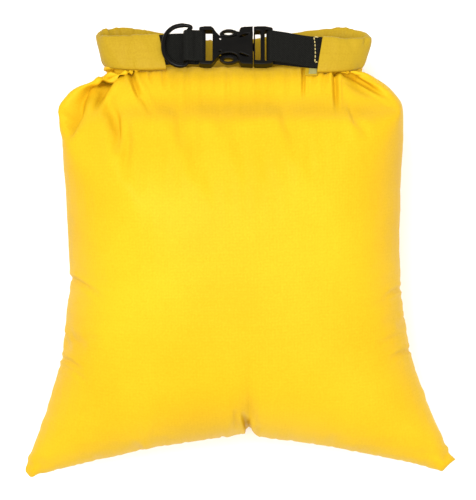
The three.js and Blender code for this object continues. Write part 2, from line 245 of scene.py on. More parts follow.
def web(name):
    m, t, b = material(name)
    uv = node(t, "ShaderNodeUVMap", uv_map="cloth").outputs["UV"]
    ribs = node(t, "ShaderNodeTexWave", wave_type="BANDS", bands_direction="X", Scale=1.0, Distortion=0.6)
    t.links.new(mapped(t, uv, (330.0, 60.0, 1.0)), ribs.inputs["Vector"])
    twill = node(t, "ShaderNodeTexWave", wave_type="BANDS", bands_direction="DIAGONAL", Scale=1.0, Distortion=1.2)
    t.links.new(mapped(t, uv, (420.0, 420.0, 1.0)), twill.inputs["Vector"])
    fuzz = node(t, "ShaderNodeTexNoise", Scale=1500.0, Detail=2.0)
    t.links.new(node(t, "ShaderNodeTexCoord").outputs["Object"], fuzz.inputs["Vector"])
    h = math_node(t, "ADD", math_node(t, "MULTIPLY", ribs.outputs["Fac"], 0.5), math_node(t, "MULTIPLY", twill.outputs["Fac"], 0.8))
    shade = math_node(t, "MULTIPLY", h, fuzz.outputs["Fac"])
    t.links.new(ramp(t, shade, [(0.12, (0.0012, 0.0012, 0.0009)), (0.75, (0.0175, 0.0175, 0.0145))]), b.inputs["Base Color"])
    b.inputs["Roughness"].default_value = 0.72
    b.inputs["Specular IOR Level"].default_value = 0.06
    bump = node(t, "ShaderNodeBump", Strength=0.6, Distance=0.00035)
    t.links.new(math_node(t, "ADD", h, math_node(t, "MULTIPLY", fuzz.outputs["Fac"], 0.5)), bump.inputs["Height"])
    t.links.new(bump.outputs["Normal"], b.inputs["Normal"])
    return m


def acetal(name):
    m, t, b = material(name)
    geo = node(t, "ShaderNodeTexCoord").outputs["Object"]
    grain = node(t, "ShaderNodeTexNoise", Scale=1400.0, Detail=2.0)
    cloud = node(t, "ShaderNodeTexNoise", Scale=90.0, Detail=3.0)
    for n in (grain, cloud):
        t.links.new(geo, n.inputs["Vector"])
    t.links.new(ramp(t, cloud.outputs["Fac"], [(0.3, (0.0014, 0.0012, 0.0008)), (0.7, (0.0030, 0.0025, 0.0017))]), b.inputs["Base Color"])
    rough = node(t, "ShaderNodeMapRange")
    t.links.new(cloud.outputs["Fac"], rough.inputs["Value"])
    b.inputs["Specular IOR Level"].default_value = 0.11
    rough.inputs["To Min"].default_value = 0.24
    rough.inputs["To Max"].default_value = 0.36
    t.links.new(rough.outputs["Result"], b.inputs["Roughness"])
    bump = node(t, "ShaderNodeBump", Strength=0.12, Distance=0.0001)
    t.links.new(grain.outputs["Fac"], bump.inputs["Height"])
    t.links.new(bump.outputs["Normal"], b.inputs["Normal"])
    return m


def thread_material(name, light, dark, specular):
    m, t, b = material(name)
    geo = node(t, "ShaderNodeTexCoord").outputs["Object"]
    ply = node(t, "ShaderNodeTexWave", wave_type="BANDS", bands_direction="DIAGONAL", Scale=900.0)
    t.links.new(geo, ply.inputs["Vector"])
    t.links.new(ramp(t, ply.outputs["Fac"], [(0.2, dark), (0.8, light)]), b.inputs["Base Color"])
    b.inputs["Roughness"].default_value = 0.6
    b.inputs["Specular IOR Level"].default_value = specular
    bump = node(t, "ShaderNodeBump", Strength=0.3, Distance=0.0001)
    t.links.new(ply.outputs["Fac"], bump.inputs["Height"])
    t.links.new(bump.outputs["Normal"], b.inputs["Normal"])
    return m


YELLOW = nylon("yellow_nylon", (0.66, 0.402, 0.010), (0.59, 0.338, 0.006), 0.5)
# A darker copy of the yellow nylon, for the rolled mouth and the inner hem: the same cloth, with painted shade in its
# colour.
ROLL_NYLON_PAINTED_SHADE = nylon("yellow_nylon_roll_painted_shade", (0.405, 0.262, 0.0135), (0.345, 0.208, 0.009), 0.5)
WEB = web("black_webbing")
PLASTIC = acetal("black_acetal")
THREAD = thread_material("pale_thread", (0.62, 0.50, 0.20), (0.42, 0.32, 0.10), 0.3)
THREAD_BLACK = thread_material("black_thread", (0.0055, 0.0055, 0.0045), (0.0025, 0.0025, 0.002), 0.03)
HEM = nylon("hem_lining", (0.30, 0.27, 0.09), (0.22, 0.20, 0.07), 0.55)

# ------------------------------------------------------------------ the roll's edges
ROLL_TOP = [[-60.2, 164.2, 98.6], [-82.1, 163.2, 100.2], [-102, 163.1, 97], [-110.3, 165.3, 88], [-105.6, 169.7, 79], [-87.5, 171.8, 74], [-56.7, 167.5, 71], [-10.4, 161.5, 70], [39.8, 167.5, 71], [78.2, 171.8, 74], [96.4, 168.9, 79], [102.7, 164.1, 88], [93.7, 161.6, 97], [76.8, 161.0, 100.2], [64.5, 162.7, 98.6]]
ROLL_FOOT = [[-53.8, 136.0, 107.8], [-74.2, 135.6, 106.4], [-95, 137, 101], [-102.5, 139.5, 90], [-97.1, 142.2, 80], [-83.5, 144.2, 75], [-54.3, 139.8, 74], [-10.4, 134.4, 74], [39.7, 139.4, 74], [74.3, 142.7, 75], [89.4, 141.4, 80], [95.7, 138.7, 90], [85.9, 135.4, 101], [72.7, 134.1, 106.4], [59.5, 133.8, 107.8]]
PER = 16
roll_top, roll_foot = spline(ROLL_TOP, PER), spline(ROLL_FOOT, PER)
roll_mid = (roll_top + roll_foot) / 2
roll_len = lengths(roll_mid)


def roll_at(f):
    """(upper edge, lower edge) of the roll at a share f of its length, in working millimetres."""
    s = np.asarray(f) * roll_len[-1]
    return tuple(np.stack([np.interp(s, roll_len, P[:, k]) for k in range(3)], -1) for P in (roll_top, roll_foot))


# ------------------------------------------------------------------ cloth
def simulate(name, base, quads, pins, stages, frames, pressure, volume=0.0, stiffness=60, bending=0.6, self_collision=True, mass=0.08):
    """Runs Blender's cloth on a mesh and returns where its points end. pins maps a vertex to its
    places at each stage; the points are in metres and the cloth is run ten times as large."""
    S = 10.0
    me = bpy.data.meshes.new(name)
    me.from_pydata([tuple(v) for v in base * S], [], [tuple(map(int, q)) for q in quads])
    me.update()
    ob = bpy.data.objects.new(name, me)
    scene.collection.objects.link(ob)
    g = ob.vertex_groups.new(name="pin")
    g.add([int(i) for i in pins], 1.0, "REPLACE")
    ob.shape_key_add(name="Basis")
    keys = []
    for k in range(len(stages) - 1):
        kb = ob.shape_key_add(name=f"stage{k}")
        for i, places in pins.items():
            kb.data[int(i)].co = Vector(places[k] * S)
        keys.append(kb)
    for n, kb in enumerate(keys):
        for m, f in enumerate(stages):
            kb.value = 1.0 if m == n + 1 else 0.0
            kb.keyframe_insert("value", frame=f)
    for fc in me.shape_keys.animation_data.action.fcurves:
        for kp in fc.keyframe_points:
            kp.interpolation = "LINEAR"
    mod = ob.modifiers.new("cloth", "CLOTH")
    s = mod.settings
    s.quality = 6
    s.mass = mass
    s.air_damping = 2.5
    s.tension_stiffness = stiffness
    s.compression_stiffness = stiffness * 0.42
    s.shear_stiffness = stiffness * 0.42
    s.bending_stiffness = bending
    s.tension_damping = s.compression_damping = 15
    s.shear_damping = 10
    s.bending_damping = 1.5
    s.vertex_group_mass = "pin"
    s.pin_stiffness = 1
    s.use_pressure = True
    s.uniform_pressure_force = pressure
    if volume:
        s.use_pressure_volume = True
        s.target_volume = volume
    s.effector_weights.gravity = 0.0
    c = mod.collision_settings
    c.use_collision = False
    c.use_self_collision = self_collision
    c.self_distance_min = 0.012
    c.self_friction = 1
    scene.frame_start, scene.frame_end = 1, frames
    mod.point_cache.frame_start, mod.point_cache.frame_end = 1, frames
    for f in range(1, frames + 1):
        scene.frame_set(f)
    ev = ob.evaluated_get(bpy.context.evaluated_depsgraph_get())
    out = np.empty(len(ev.data.vertices) * 3)
    ev.data.vertices.foreach_get("co", out)
    bpy.data.objects.remove(ob)
    bpy.data.meshes.remove(me)
    scene.frame_set(1)
    return out.reshape(-1, 3) / S


# ------------------------------------------------------------------ the sack: two flat panels, joined at their edges, blown up
W, H = 356.0, 370.0
NX, NY = ((66, 70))
TOP_Y = 140.0
xs, ys = np.linspace(-1, 1, NX + 1), np.linspace(0, 1, NY + 1)
index, flat, grid, quads = {}, [], [], []


def grid_vertex(i, j, side):
    edge = i in (0, NX) or j in (0, NY)
    key = (i, j, 0 if edge else side)
    if key not in index:
        index[key] = len(flat)
        lift = 0.0 if edge else side * 2.0 * min(1, min(i, NX - i, j, NY - j) / 3)
        flat.append((xs[i] * W / 2, TOP_Y - H + ys[j] * H, 75 + lift))
        grid.append((xs[i], ys[j], 0 if edge else side))
    return index[key]


for side in (1, -1):
    for j in range(NY):
        for i in range(NX):
            q = [grid_vertex(i, j, side), grid_vertex(i + 1, j, side), grid_vertex(i + 1, j + 1, side), grid_vertex(i, j + 1, side)]
            quads.append(q if side > 0 else q[::-1])
flat, grid = np.array(flat), np.array(grid)
top_ids = np.where(grid[:, 1] > 1 - 1e-9)[0]
tip_left = [i for i in range(len(grid)) if grid[i, 1] < 0.016 and grid[i, 0] < -0.984]
tip_right = [i for i in range(len(grid)) if grid[i, 1] < 0.016 and grid[i, 0] > 0.984]
t_up, t_low = roll_at((grid[top_ids, 0] + 1) / 2)
mouth = t_low * 0.86 + t_up * 0.14


def bent(a):
    """The mouth line with its two ends turned forward by a."""
    r, m = 14.0, 92.0
    out = np.zeros((len(top_ids), 3))
    for k, x in enumerate(grid[top_ids, 0] * W / 2):
        e = abs(x) - m
        if e <= 0:
            p = (abs(x), 0)
        else:
            th = min(e / r, a)
            rest = max(0, e - r * a)
            p = (m + r * math.sin(th) + rest * math.cos(a), r * (1 - math.cos(th)) + rest * math.sin(a))
        out[k] = (math.copysign(p[0], x), TOP_Y, 75 + p[1])
    return out


pins = {}
turns = [bent(math.radians(50)), bent(math.radians(100)), bent(math.radians(150)), mouth]
for q, i in enumerate(top_ids):
    pins[i] = [mm(t[q]) for t in turns]
for ids, goal, corner in ((tip_left, (-167.0, -174.5, 66), -1), (tip_right, (167.5, -170.5, 66), 1)):
    for i in ids:
        start = np.array([corner * W / 2, TOP_Y - H, 75])
        pins[i] = [mm(flat[i] + (np.array(goal) - start) * f) for f in (0.4, 0.7, 1, 1)]
FR = 70
body = simulate("sack_cloth", mm(flat), quads, pins, [1, int(FR * 0.12), int(FR * 0.24), int(FR * 0.36), int(FR * 0.5)], FR, pressure=8, volume=8.1)
body = body * 1000 - SHIFT

# The outline of the filled sack, as it shows from above on its middle plane (z 75): (y, left x,
# right x) down the sides, and (x, y) along the bottom. The simulated shape is eased on to it.
SIDES = np.array([(137.1, -116.7, 105.1), (134.0, -119.7, 109.7), (130.9, -123.6, 113.6), (127.8, -126.7, 116.7), (124.7, -129.7, 119.7), (121.7, -132.8, 122.0), (118.6, -135.1, 124.4), (115.5, -137.4, 126.7), (112.4, -139.0, 127.0), (106.3, -139.0, 127.4), (100.1, -138.2, 127.4), (92.4, -137.4, 127.4), (84.7, -135.9, 127.4), (77.0, -135.1, 127.0), (61.6, -134.4, 125.9), (46.2, -132.8, 125.1), (30.8, -132.1, 125.1), (15.4, -131.3, 124.4), (0.0, -130.5, 124.4), (-15.4, -129.7, 125.1), (-23.1, -129.0, 125.1), (-30.8, -129.7, 125.5), (-38.5, -131.3, 126.7), (-46.2, -132.1, 127.4), (-53.9, -132.8, 129.0), (-61.6, -133.6, 130.1), (-69.3, -134.4, 131.3), (-77.0, -135.1, 132.8), (-84.7, -136.7, 135.1), (-92.4, -139.0, 137.4), (-100.1, -141.3, 140.5), (-107.8, -143.6, 143.6), (-115.5, -145.9, 145.9), (-123.2, -148.2, 149.0), (-130.9, -151.3, 152.1), (-138.6, -153.6, 155.9), (-146.3, -156.7, 159.8), (-154.0, -159.8, 163.6), (-163.2, -163.6, 168.2)])[::-1]
BOTTOM = np.array([(-160.5, -175.6), (-152.8, -173.2), (-137.4, -169.4), (-122.0, -165.6), (-106.6, -161.7), (-91.2, -158.6), (-75.8, -154.8), (-60.4, -151.7), (-45.0, -149.4), (-29.6, -147.1), (-14.2, -144.8), (-6.5, -144.0), (1.2, -142.5), (8.9, -139.4), (16.6, -144.0), (24.3, -145.5), (39.7, -147.1), (55.1, -149.4), (70.5, -151.7), (85.9, -154.8), (101.3, -157.8), (116.7, -160.9), (132.1, -164.0), (139.8, -166.3), (147.5, -168.6), (159.0, -170.9)])


def across(P):
    """Where points show on the sack's middle plane, looked at from 1.5 m above it."""
    f = 1 - (P[:, 2] - 75) / 1500
    return P[:, 0] / f, P[:, 1] / f, f


def fitted(P, step, free):
    """Moves the sides and the bottom edge of the sack on to its outline; free is 0 where a point
    is held by the roll."""
    Q = P.copy()
    x, y, f = across(Q)
    ybins = np.arange(SIDES[0, 0] - 2, SIDES[-1, 0] + 2, step)
    ends = []
    for sign, goal in ((-1, SIDES[:, 1]), (1, SIDES[:, 2])):
        now = np.array([(x * sign)[np.abs(y - c) < step * 1.05].max() for c in ybins])
        now = np.convolve(np.pad(now, 1, mode="edge"), np.ones(3) / 3, "valid")
        ends.append((sign, np.interp(y, ybins, now), np.interp(y, SIDES[:, 0], goal) * sign))
    fade = free * smooth01((y + 169) / 12) * smooth01((133 - y) / 10)
    for sign, now, goal in ends:
        on = x * sign > 0
        share = np.clip(x * sign / now, 0, 1.04) ** 1.8
        Q[on, 0] += (f * sign * fade * share * (goal - now))[on]
    x, y, f = across(Q)
    xbins = np.arange(-158, 158, step)
    low = np.array([y[(np.abs(x - c) < step * 1.05) & (y < -60)].min() for c in xbins])
    low = np.convolve(np.pad(low, 1, mode="edge"), np.ones(3) / 3, "valid")
    now, goal = np.interp(x, xbins, low), np.interp(x, BOTTOM[:, 0], BOTTOM[:, 1])
    reach = smooth01((-60 - y) / (-60 - now).clip(20)) * smooth01((164 - np.abs(x)) / 8)
    Q[:, 1] += f * reach * (goal - now)
    return Q


free = 1 - smooth01((grid[:, 1] - 0.93) / 0.05)
body = fitted(fitted(body, 5.0, free), 5.0, free)


links = np.unique(np.sort(np.array([(q[i], q[(i + 1) % 4]) for q in quads for i in range(4)]), axis=1), axis=0)
degree = np.bincount(links.ravel(), minlength=len(grid))[:, None]


def relaxed(P, weight, rounds):
    """Evens out the cloth where weight is above nothing."""
    Q = P.copy()
    for _ in range(rounds):
        total = np.zeros_like(Q)
        np.add.at(total, links[:, 0], Q[links[:, 1]])
        np.add.at(total, links[:, 1], Q[links[:, 0]])
        Q += weight[:, None] * (total / degree - Q)
    return Q


def under_roll(P):
    """The front of the sack swells up against the strap and stays behind the foot of the roll."""
    Q = P.copy()
    x, y, z = P.T
    front = (grid[:, 2] >= 0) & (grid[:, 1] < 0.985)
    wx = smooth01((100 - np.abs(x)) / 45)
    Q[front, 1] += (9.0 * wx * smooth01((y - 84) / 44) * smooth01((z - 74) / 18))[front]
    Q[front, 2] += (6.0 * wx * np.exp(-(((y - 130) / 16) ** 2)))[front]
    lim = np.interp(x, [-112, -103, -95, -60, -52, 52, 60, 86, 95.7, 106], [141.5, 140.0, 137.5, 136.0, 140.0, 139.5, 134.6, 135.6, 138.5, 140.0]) - 0.6
    over = Q[:, 1] - (lim - 3)
    held = lim - 3 + 3 * (1 - np.exp(-np.maximum(over, 0) / 3))
    w = smooth01((z - 76) / 8) * smooth01((116 - np.abs(x)) / 6) * (over > 0) * front
    Q[:, 1] += w * (held - Q[:, 1])
    top = 86 + 34 * np.sqrt(np.clip(1 - (np.maximum(Q[:, 1] - 92, 0) / 50) ** 2, 0, 1))
    over = Q[:, 2] - (top - 3)
    held = top - 3 + 3 * (1 - np.exp(-np.maximum(over, 0) / 3))
    w = smooth01((Q[:, 1] - 96) / 20) * (over > 0) * front
    Q[:, 2] += w * (held - Q[:, 2])
    return Q


is_front = (grid[:, 2] >= 0) & (grid[:, 1] < 0.99)
crown = is_front * smooth01((grid[:, 1] - 0.78) / 0.08)
foot = is_front * smooth01((56 - np.abs(body[:, 0] - 8)) / 22) * smooth01((-74 - body[:, 1]) / 24)
body = relaxed(body, 0.7 * np.maximum(crown, foot), 7)
body = under_roll(body)
body = relaxed(body, 0.6 * is_front * smooth01((grid[:, 1] - 0.84) / 0.06), 4)
body = under_roll(body) * 0.6 + body * 0.4
body = fitted(body, 5.0, free)
# The bottom corners are sewn off blunt.
for n, d in ((np.array([-0.707, -0.707]), 238.4), (np.array([0.355, -0.935]), 210.0)):
    n = n / np.linalg.norm(n)
    over = body[:, :2] @ n - d
    body[over > 0, :2] -= np.outer(over[over > 0] * 0.93, n)
# The back settles flat on what it lies on.
low = body[:, 2] < 7
body[low, 2] = 7 * np.exp((body[low, 2] - 7) / 7)
body[:, 2] = np.maximum(body[:, 2], 0.25)

uv = np.stack([(grid[:, 0] + 1) * W / 2000 + np.where(grid[:, 2] < 0, 0.5, 0), grid[:, 1] * H / 1000], -1)
sack = new_mesh("sack_body", mm(body), quads, YELLOW, uv)
face_out(sack)
subdivide(sack, 2)
apply_all(sack)
bm = bmesh.new()
bm.from_mesh(sack.data)
edges = {e for f in bm.faces if f.normal.z > -0.3 and all(v.co.y > 0.094 for v in f.verts) for e in f.edges}
bmesh.ops.subdivide_edges(bm, edges=list(edges), cuts=1, use_grid_fill=True)
bm.to_mesh(sack.data)
bm.free()

# Creases, pleats and puckers of the cloth: lines on the sack's middle plane as it shows from above,
# with a depth and a width, all in millimetres. Each starts deep and runs out.
CREASES = [
    ([(-92.8, 138.2), (-100.5, 127.8), (-106.6, 117.8), (-112.8, 103.2)], 5.0, 2.7),
    ([(-98.2, 137.1), (-108.2, 124.7), (-115.9, 109.3)], 1.8, 1.8),
    ([(-82.8, 138.6), (-80.5, 129.4), (-77.4, 120.1), (-75.1, 112.4)], 3.4, 1.8),
    ([(-80.5, 132.4), (-71.2, 113.2), (-65.1, 100.1)], 1.5, 2.0),
    ([(-112.8, 133.2), (-101.3, 136.7), (-90.5, 139.0)], 2.0, 1.5),
    ([(-106.6, 127.8), (-98.9, 133.2), (-91.2, 137.1)], 1.2, 1.3),
    ([(-58.1, 140.1), (-55.8, 121.7)], 0.9, 1.5),
    ([(-68.1, 138.6), (-66.6, 127.8)], 0.9, 1.3),
    ([(74.3, 138.6), (75.1, 123.2), (75.8, 104.0)], 3.2, 1.6),
    ([(75.8, 137.8), (85.1, 134.4), (93.6, 130.1), (107.4, 122.4), (120.5, 114.7)], 3.4, 1.8),
    ([(76.6, 137.8), (87.4, 138.6), (97.4, 138.2), (106.6, 134.0)], 1.8, 1.4),
    ([(82.0, 136.3), (95.1, 134.0), (109.0, 126.3)], 1.2, 1.5),
    ([(50.4, 143.2), (50.4, 129.4), (50.1, 114.0)], 2.4, 1.2),
    ([(67.4, 139.4), (65.1, 118.6)], 1.0, 1.7),
    ([(58.9, 137.1), (58.1, 124.7)], 0.7, 1.4),
    ([(-48.1, 141.7), (-48.9, 112.4)], 0.7, 2.2),
    ([(-38.9, 141.7), (-39.7, 106.3)], 0.8, 2.0),
    ([(-27.3, 141.7), (-27.3, 100.1)], 0.7, 2.3),
    ([(-16.6, 141.7), (-17.3, 110.9)], 0.6, 2.0),
    ([(-7.3, 141.7), (-8.1, 103.2)], 0.9, 1.8),
    ([(3.5, 141.7), (3.5, 97.0)], 0.6, 2.2),
    ([(15.0, 141.7), (15.0, 107.8)], 0.8, 2.0),
    ([(25.8, 141.7), (25.0, 101.6)], 0.7, 2.2),
    ([(38.1, 141.7), (37.3, 110.9)], 0.8, 1.9),
    ([(9.6, -146.3), (8.1, -137.8), (2.7, -124.0)], 4.2, 2.0),
    ([(-1.2, -134.8), (-1.9, -121.7)], 1.2, 1.6),
    ([(11.9, -141.7), (18.1, -134.0)], 0.9, 1.8),
    ([(-131.3, -20.0), (-123.6, -23.9), (-112.0, -31.6)], 1.6, 1.5),
    ([(-131.3, -23.9), (-119.0, -27.7), (-102.0, -39.3)], 0.8, 2.2),
    ([(-136.7, -82.4), (-128.2, -87.0), (-117.4, -94.7)], 1.5, 1.5),
    ([(-137.4, -89.3), (-126.7, -93.2), (-114.3, -104.7)], 0.8, 1.8),
    ([(126.7, -28.5), (119.0, -32.3), (110.5, -38.5)], 1.3, 1.5),
    ([(127.4, -36.2), (115.1, -40.0), (99.7, -43.9)], 0.6, 2.0),
    ([(133.6, -76.2), (123.6, -80.1), (115.9, -85.5)], 1.6, 1.5),
    ([(129.7, -63.9), (118.2, -68.5), (104.3, -74.7)], 0.7, 2.0),
    ([(-139.0, -171.3), (-140.1, -164.4)], 0.4, 1.4),
    ([(-123.6, -167.5), (-122.4, -159.0)], 0.4, 1.4),
    ([(-109.0, -163.8), (-110.1, -157.7)], 0.4, 1.4),
    ([(-92.8, -160.5), (-91.6, -151.2)], 0.4, 1.4),
    ([(-75.1, -156.2), (-76.2, -149.2)], 0.4, 1.4),
    ([(-56.6, -152.7), (-55.4, -142.6)], 0.4, 1.4),
    ([(-40.4, -150.2), (-41.6, -143.3)], 0.4, 1.4),
    ([(-23.5, -147.7), (-22.3, -139.2)], 0.4, 1.4),
    ([(-11.2, -146.0), (-12.3, -139.8)], 0.4, 1.4),
    ([(28.9, -147.5), (30.0, -139.8)], 0.4, 1.4),
    ([(41.2, -148.8), (40.0, -138.8)], 0.4, 1.4),
    ([(57.4, -151.3), (58.5, -144.3)], 0.4, 1.4),
    ([(72.8, -153.7), (71.6, -145.2)], 0.4, 1.4),
    ([(90.5, -157.2), (91.6, -150.3)], 0.4, 1.4),
    ([(109.0, -160.9), (107.8, -151.7)], 0.4, 1.4),
    ([(125.9, -164.3), (127.0, -157.4)], 0.4, 1.4),
    ([(138.2, -167.4), (137.1, -161.2)], 0.4, 1.4),
]

me = sack.data
nv = len(me.vertices)
co, no = np.empty(nv * 3), np.empty(nv * 3)
me.vertices.foreach_get("co", co)
me.vertices.foreach_get("normal", no)
co, no = co.reshape(-1, 3), no.reshape(-1, 3)
pm = co * 1000 - SHIFT
is_free = 1 - smooth01((pm[:, 1] - 128) / 8) * smooth01((112 - np.abs(pm[:, 0])) / 6)
for _ in range(3):
    pm = fitted(pm, 2.5, is_free)
# The gathers beside the roll's ends are evened out, so that the creases below lie on calm cloth.
pair = np.empty(len(me.edges) * 2, np.int32)
me.edges.foreach_get("vertices", pair)
pair = pair.reshape(-1, 2)
count = np.bincount(pair.ravel(), minlength=nv)[:, None]
ends_of_roll = smooth01((np.abs(pm[:, 0]) - 56) / 10) * smooth01((pm[:, 1] - 100) / 14) * smooth01((pm[:, 2] - 62) / 14)
for _ in range(90):
    total = np.stack([np.bincount(pair[:, 0], pm[pair[:, 1], k], nv) + np.bincount(pair[:, 1], pm[pair[:, 0], k], nv) for k in range(3)], -1)
    pm = pm + 0.7 * ends_of_roll[:, None] * (total / count - pm)
co = mm(pm)
flat_xy = np.stack(across(pm)[:2], -1)
me.vertices.foreach_set("co", co.ravel())
me.update()
me.vertices.foreach_get("normal", no_flat := np.empty(nv * 3))
no = no_flat.reshape(-1, 3)
seen = smooth01((no[:, 2] + 0.15) / 0.25)
push = np.zeros(nv)
for pts, depth, width in CREASES:
    line = resample(spline(pts, 8), 24)
    lo, hi = line.min(0) - 12, line.max(0) + 12
    near = np.where(((flat_xy > lo) & (flat_xy < hi)).all(1) & (seen > 0))[0]
    if not len(near):
        continue
    p = flat_xy[near]
    best, share = np.full(len(near), 1e9), np.zeros(len(near))
    for k in range(len(line) - 1):
        a, b = line[k], line[k + 1]
        ab = b - a
        u = np.clip(((p - a) @ ab) / (ab @ ab), 0, 1)
        d = np.linalg.norm(p - a - u[:, None] * ab, axis=1)
        closer = d < best
        best[closer], share[closer] = d[closer], (k + u[closer]) / (len(line) - 1)
    r = best / width
    taper = smooth01((1.02 - share) / 0.55) * (0.55 + 0.45 * smooth01(share / 0.15))
    push[near] += depth * taper * (0.42 * np.exp(-(((r - 2.1) / 1.0) ** 2)) - np.exp(-(r ** 2)))
co += no * (push * seen / 1000)[:, None]
co[:, 2] = np.maximum(co[:, 2], 0.00025)
me.vertices.foreach_set("co", co.ravel())
me.update()
sack.data.shade_smooth()
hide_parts("front_panel", "back_panel", "seam_tape_left", "seam_tape_right", "seam_tape_bottom")

# ------------------------------------------------------------------ the rolled mouth
AROUND, ALONG = ((44, 420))
f = np.linspace(0, 1, ALONG)
up, lowr = roll_at(f)
mid, half = (up + lowr) / 2, (up - lowr) / 2
for e in (mid,):
    e[:, 0] *= 1 - 0.030 * smooth01((np.abs(e[:, 0]) - 55) / 40)
tang = np.gradient(mid, axis=0)
tang /= np.linalg.norm(tang, axis=1)[:, None]
norm = np.cross(tang, half)
norm /= np.linalg.norm(norm, axis=1)[:, None]
ang = np.linspace(0, 2 * np.pi, AROUND, endpoint=False)
ca, sa = np.cos(ang), np.sin(ang)
prof_a = np.sign(ca) * np.abs(ca) ** 0.62
prof_b = np.sign(sa) * np.abs(sa) ** 0.62
ROLL_HALF = 3.4
verts = mid[:, None, :] + half[:, None, :] * prof_a[None, :, None] + norm[:, None, :] * prof_b[None, :, None] * ROLL_HALF
rng = np.random.default_rng(7)
fs = f[:, None]
aa = prof_a[None, :]
wr = np.zeros((ALONG, AROUND))
for c, w, amp, lean in ((0.035, 0.008, 0.7, 0.02), (0.09, 0.010, -0.9, -0.02), (0.125, 0.007, 0.8, 0.015), (0.17, 0.008, -1.0, 0.0), (0.20, 0.007, 0.9, 0.01), (0.235, 0.009, -1.0, -0.01), (0.30, 0.012, 0.7, 0.02), (0.40, 0.015, -0.6, 0.01), (0.52, 0.016, 0.6, -0.02), (0.61, 0.012, -0.7, 0.01), (0.70, 0.010, 0.8, 0.0), (0.745, 0.008, -1.0, 0.01), (0.78, 0.008, 1.0, -0.01), (0.815, 0.007, -0.9, 0.0), (0.86, 0.009, 0.8, 0.02), (0.91, 0.009, -0.8, 0.03), (0.955, 0.007, 0.7, 0.01)):
    wr += amp * np.exp(-(((fs - c - lean * aa) / w) ** 2)) * (0.35 + 0.65 * smooth01((aa + 0.4) / 1.4))
for c in rng.uniform(0.015, 0.985, 64):
    w, amp, lean = rng.uniform(0.0022, 0.0055), rng.uniform(-1.15, 1.15), rng.uniform(-0.02, 0.02)
    low, high = (0.1, 0.9) if rng.random() < 0.65 else (-1.1, -0.3)
    wr += amp * np.exp(-(((fs - c - lean * aa) / w) ** 2)) * smooth01((aa - low) / (high - low) if low > 0 else (-0.1 - aa) / 0.7)
verts += norm[:, None, :] * (wr * np.sign(prof_b)[None, :] * np.abs(prof_b)[None, :] ** 0.5)[:, :, None]
verts += half[:, None, :] * (0.035 * wr * smooth01((aa - 0.2) / 0.8))[:, :, None]
# the edges of the layers show as two grooves along the top of the roll, and one along its foot
groove = np.zeros(AROUND)
for at in (-0.42, 0.30):
    groove += np.exp(-(((prof_b - at) / 0.16) ** 2)) * (ca > 0)
verts -= half[:, None, :] * (groove[None, :, None] * 0.075)
verts = verts.reshape(-1, 3)
faces = grid_faces(ALONG, AROUND, wrap=True)
# the folded ends, turned in round the straps
capped = list(verts)
for row, depth in ((0, 1), (ALONG - 1, -1)):
    ring_ids = [row * AROUND + k for k in range(AROUND)]
    centre = mid[row]
    inner = []
    for k in ring_ids:
        inner.append(len(capped))
        capped.append(centre + (verts[k] - centre) * np.array([1, 1, 1]) * 0.80)
    deep = []
    for k in ring_ids:
        deep.append(len(capped))
        capped.append(centre + (verts[k] - centre) * 0.78 + tang[row] * depth * 9.0)
    end = len(capped)
    capped.append(centre + tang[row] * depth * 9.5)
    for k in range(AROUND):
        k2 = (k + 1) % AROUND
        faces.append((ring_ids[k], ring_ids[k2], inner[k2], inner[k]))
        faces.append((inner[k], inner[k2], deep[k2], deep[k]))
        faces.append((deep[k], deep[k2], end))
capped = np.array(capped)
uvr = np.zeros((len(capped), 2))
uvr[: ALONG * AROUND, 0] = np.repeat(f * roll_len[-1] / 1000, AROUND)
uvr[: ALONG * AROUND, 1] = np.tile(ang / (2 * np.pi) * 0.064, ALONG)
# The roll takes the darker copy of the nylon: painted shade in the roll's colour.
roll = new_mesh("rolled_mouth", mm(capped), faces, ROLL_NYLON_PAINTED_SHADE, uvr)
face_out(roll)
subdivide(roll, 1)
apply_all(roll)
roll.data.shade_smooth()
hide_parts("rolled_mouth", "rolled_mouth_right_end", "mouth_webbing", "mouth_stiffener")


# ------------------------------------------------------------------ straps
def ribbon(name, path, width, thick, steps, mat):
    """Webbing with rounded edges, along (u, v, n) points of the buckle's frame."""
    P = resample(spline(path, 14), steps)
    T = np.gradient(P, axis=0)
    T[:, 1] = 0
    T /= np.linalg.norm(T, axis=1)[:, None]
    N = np.stack([-T[:, 2], np.zeros(len(T)), T[:, 0]], -1)
    w, h = width / 2, thick / 2
    section = [(-w, -h * 0.35), (-w + 0.35, -h), (-w * 0.5, -h), (0, -h), (w * 0.5, -h), (w - 0.35, -h), (w, -h * 0.35), (w, h * 0.35), (w - 0.35, h), (w * 0.5, h), (0, h), (-w * 0.5, h), (-w + 0.35, h), (-w, h * 0.35)]
    d = lengths(P)
    verts, uvs, rim = [], [], 0.0
    for k in range(len(P)):
        for j, (a, b) in enumerate(section):
            verts.append(face(*(P[k] + np.array([0, a, 0]) + N[k] * b)))
            uvs.append((d[k] / 1000, (a + (0 if b < 0 else 40)) / 1000))
    faces = grid_faces(len(P), len(section), wrap=True)
    n = len(section)
    faces.append(tuple(range(n))[::-1])
    faces.append(tuple(range((len(P) - 1) * n, len(P) * n)))
    ob = new_mesh(name, mm(verts), faces, mat, uvs)
    face_out(ob)
    subdivide(ob, 1)
    apply_all(ob)
    return ob


def turn(c, r, a0, a1, k, v):
    return [[c[0] + r * math.cos(math.radians(a0 + (a1 - a0) * i / k)), v, c[1] + r * math.sin(math.radians(a0 + (a1 - a0) * i / k))] for i in range(k + 1)]


